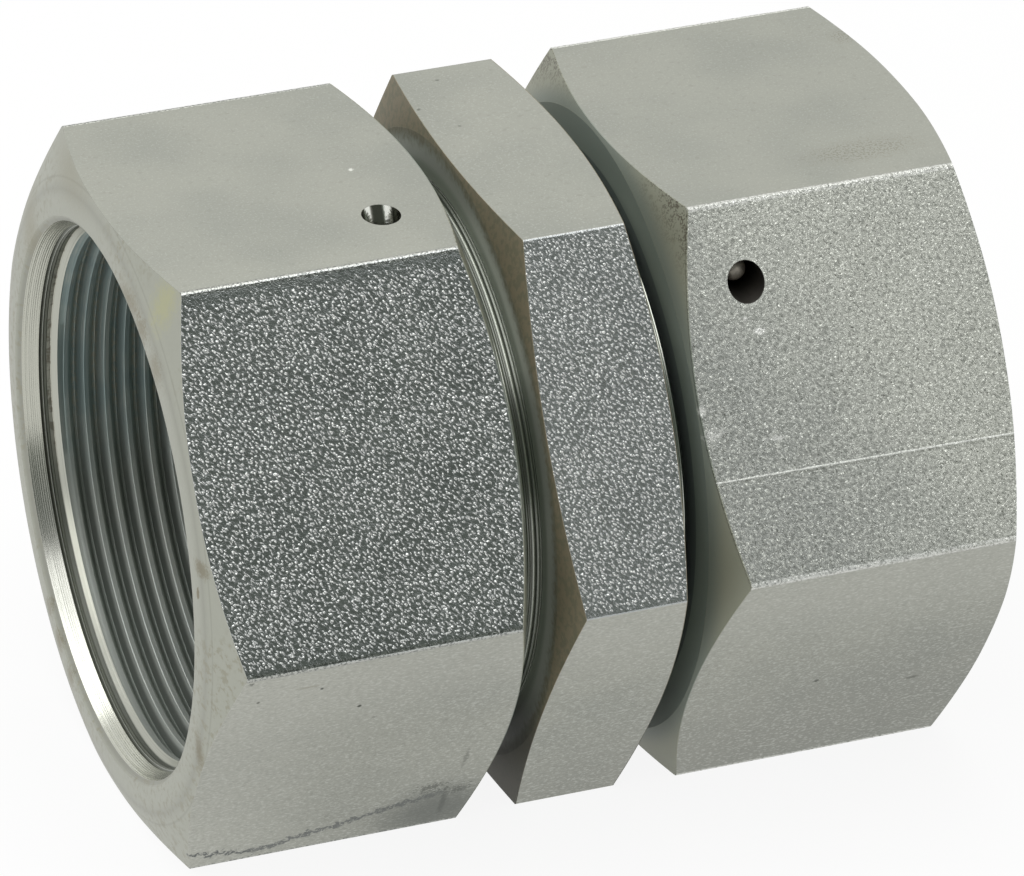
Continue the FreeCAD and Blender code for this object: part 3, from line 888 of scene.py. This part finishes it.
# A copy of the nut's own mesh. The plain wall and the shoulder behind it are taken out, and the thread is put
# in their place.
def nutPiece(node, name, side, phase, materials):
    source = frame["nodes"][node]
    mesh = bmesh.new()
    mesh.from_mesh(source.data)
    bmesh.ops.remove_doubles(mesh, verts=mesh.verts, dist=1e-7)
    wall = []
    for face in mesh.faces:
        radii = [math.hypot(vert.co.y, vert.co.z) / mm for vert in face.verts]
        places = [abs(vert.co.x) / mm for vert in face.verts]
        bore = max(radii) < thread["crest"] + 0.02 and min(radii) > thread["crest"] - 0.05
        inSpan = min(places) > thread["start"] - 0.01 and max(places) < thread["end"] + 0.01
        shoulder = max(places) < thread["start"] + 0.01 and min(places) > thread["start"] - 0.01
        ring = max(radii) < thread["relief"] + 0.02
        if bore and inSpan or shoulder and ring:
            wall.append(face)
    bmesh.ops.delete(mesh, geom=wall, context="FACES")
    for face in mesh.faces:
        face.smooth = True
        face.material_index = 0
    made = addThread(mesh, side, phase, 1)
    bmesh.ops.remove_doubles(mesh, verts=mesh.verts, dist=1e-7)
    bmesh.ops.recalc_face_normals(mesh, faces=mesh.faces)
    for edge in mesh.edges:
        edge.smooth = len(edge.link_faces) == 2 and edge.calc_face_angle(0.0) < math.radians(22)
    data = bpy.data.meshes.new(name)
    mesh.to_mesh(data)
    mesh.free()
    piece = bpy.data.objects.new(name, data)
    bpy.context.scene.collection.objects.link(piece)
    for material in materials:
        data.materials.append(material)
    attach(piece, frame["nodes"][node]["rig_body"])
    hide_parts(node)
    print(name, "thread faces", len(made), "faces", len(data.polygons))
    return piece


leftSteel = platedSteel("platedSteelLeft", steelLook, leftGrain, nutZones(-1, nutLook))
rightSteel = platedSteel("platedSteelRight", rightSteelLook, rightGrain, nutZones(1, rightNutLook))
centreSteel = platedSteel("platedSteelCentre", steelLook, centreGrain, centreZones(centreLook))
threadMaterial = threadSteel(threadLook)
print("materials made")
nutPiece("left_nut", "leftNutThreaded", -1, thread["leftPhase"], [leftSteel, threadMaterial])
nutPiece("right_nut", "rightNutThreaded", 1, thread["rightPhase"], [rightSteel, threadMaterial])
wear(frame["nodes"]["body"], centreSteel)
wireMaterial = mottledMaterial("wireSteel", wireLook)
rubberMaterial = mottledMaterial("sealRubber", sealLook)
for side in ("left", "right"):
    wear(frame["nodes"][side + "_retaining_wire"], wireMaterial)
    wear(frame["nodes"][side + "_o_ring"], rubberMaterial)
print("pieces made")


# Pale floor, white room, one large soft lamp overhead and a grey card that shades the camera's side.
studio = {
    "floorSize": 6.0,
    "floorColour": (0.88, 0.88, 0.87),
    "floorGlow": 0.9,
    "dome": 0.5,
    "dimmer": 0.13,
    "cardColour": (0.17, 0.19, 0.168),
    "cardWay": (-0.05, -0.92, 0.36),
    "cardDistance": 1.5,
    "cardSize": (2.2, 1.25),
}
lamps = [
    {"name": "overhead", "place": (-0.2, 0.0, 0.9), "size": (1.1, 1.5), "power": 9.8},
]


def addMesh(name, points, faces):
    data = bpy.data.meshes.new(name)
    data.from_pydata(points, [], faces)
    item = bpy.data.objects.new(name, data)
    bpy.context.scene.collection.objects.link(item)
    return item


def makeFloor():
    half = studio["floorSize"] / 2
    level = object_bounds()[0].z - 0.00001
    corners = [(-half, -half, level), (half, -half, level), (half, half, level), (-half, half, level)]
    floor = addMesh("floor", corners, [(0, 1, 2, 3)])
    material = bpy.data.materials.new("paleFloor")
    start = emptyTree(material)
    matt = start.node("ShaderNodeBsdfDiffuse", None, {"Color": (*studio["floorColour"], 1.0)})
    glow = start.node("ShaderNodeEmission", None, {"Color": (1.0, 1.0, 1.0, 1.0), "Strength": 1.0})
    share = seenRays(start) * studio["floorGlow"]
    mixed = start.node("ShaderNodeMixShader", None, {0: share, 1: matt, 2: glow})
    start.node("ShaderNodeOutputMaterial", None, {"Surface": mixed})
    floor.data.materials.append(material)


# 1 for what the camera sees straight, in a reflection or through something.
def seenRays(start):
    path = start.node("ShaderNodeLightPath")
    rays = path.socket.node.outputs
    straight = Signal(start.tree, rays["Is Camera Ray"])
    mirrored = Signal(start.tree, rays["Is Glossy Ray"])
    return straight.larger(mirrored).larger(Signal(start.tree, rays["Is Transmission Ray"]))


def makeCard():
    way = Vector(studio["cardWay"]).normalized()
    middle = way * studio["cardDistance"]
    across = way.cross(Vector((0, 0, 1))).normalized() * studio["cardSize"][0] / 2
    up = across.normalized().cross(way) * studio["cardSize"][1] / 2
    corners = [middle - across - up, middle + across - up, middle + across + up, middle - across + up]
    card = addMesh("greyCard", corners, [(0, 1, 2, 3)])
    material = bpy.data.materials.new("greyCard")
    start = emptyTree(material)
    glow = start.node("ShaderNodeEmission", None, {"Color": (*studio["cardColour"], 1.0), "Strength": 1.0})
    start.node("ShaderNodeOutputMaterial", None, {"Surface": glow})
    card.data.materials.append(material)
    card.visible_camera = False
    card.visible_shadow = False


def makeWorld():
    world = bpy.data.worlds.new("studio")
    bpy.context.scene.world = world
    start = emptyTree(world)
    rays = start.node("ShaderNodeLightPath").socket.node.outputs
    mirrored = Signal(start.tree, rays["Is Glossy Ray"])
    level = seenRays(start) * (1 - studio["dome"]) + studio["dome"] - mirrored * studio["dimmer"]
    glow = start.node("ShaderNodeBackground", None, {"Color": (1.0, 1.0, 1.0, 1.0), "Strength": level})
    start.node("ShaderNodeOutputWorld", None, {"Surface": glow})


def makeLamps():
    for lamp in lamps:
        data = bpy.data.lights.new(lamp["name"], "AREA")
        data.shape = "RECTANGLE"
        data.size, data.size_y = lamp["size"]
        data.energy = lamp["power"]
        item = bpy.data.objects.new(lamp["name"], data)
        bpy.context.scene.collection.objects.link(item)
        item.location = lamp["place"]


camera = {
    "place": (-226.39, -598.71, 358.87),
    "forward": (0.3094, 0.8151, -0.4898),
    "up": (0.1655, 0.4611, 0.8718),
    "lens": 276.68,
}


def makeCamera():
    data = bpy.data.cameras.new("camera")
    data.lens = camera["lens"]
    data.sensor_width = 36.0
    item = bpy.data.objects.new("camera", data)
    bpy.context.scene.collection.objects.link(item)
    forward = Vector(camera["forward"]).normalized()
    right = forward.cross(Vector(camera["up"])).normalized()
    above = right.cross(forward)
    turn = Matrix((right, above, -forward)).transposed()
    item.matrix_world = Matrix.Translation(Vector(camera["place"]) * mm) @ turn.to_4x4()
    bpy.context.scene.camera = item


makeFloor()
makeCard()
makeWorld()
makeLamps()
makeCamera()
bpy.context.scene.view_settings.view_transform = "Standard"
print("studio made")
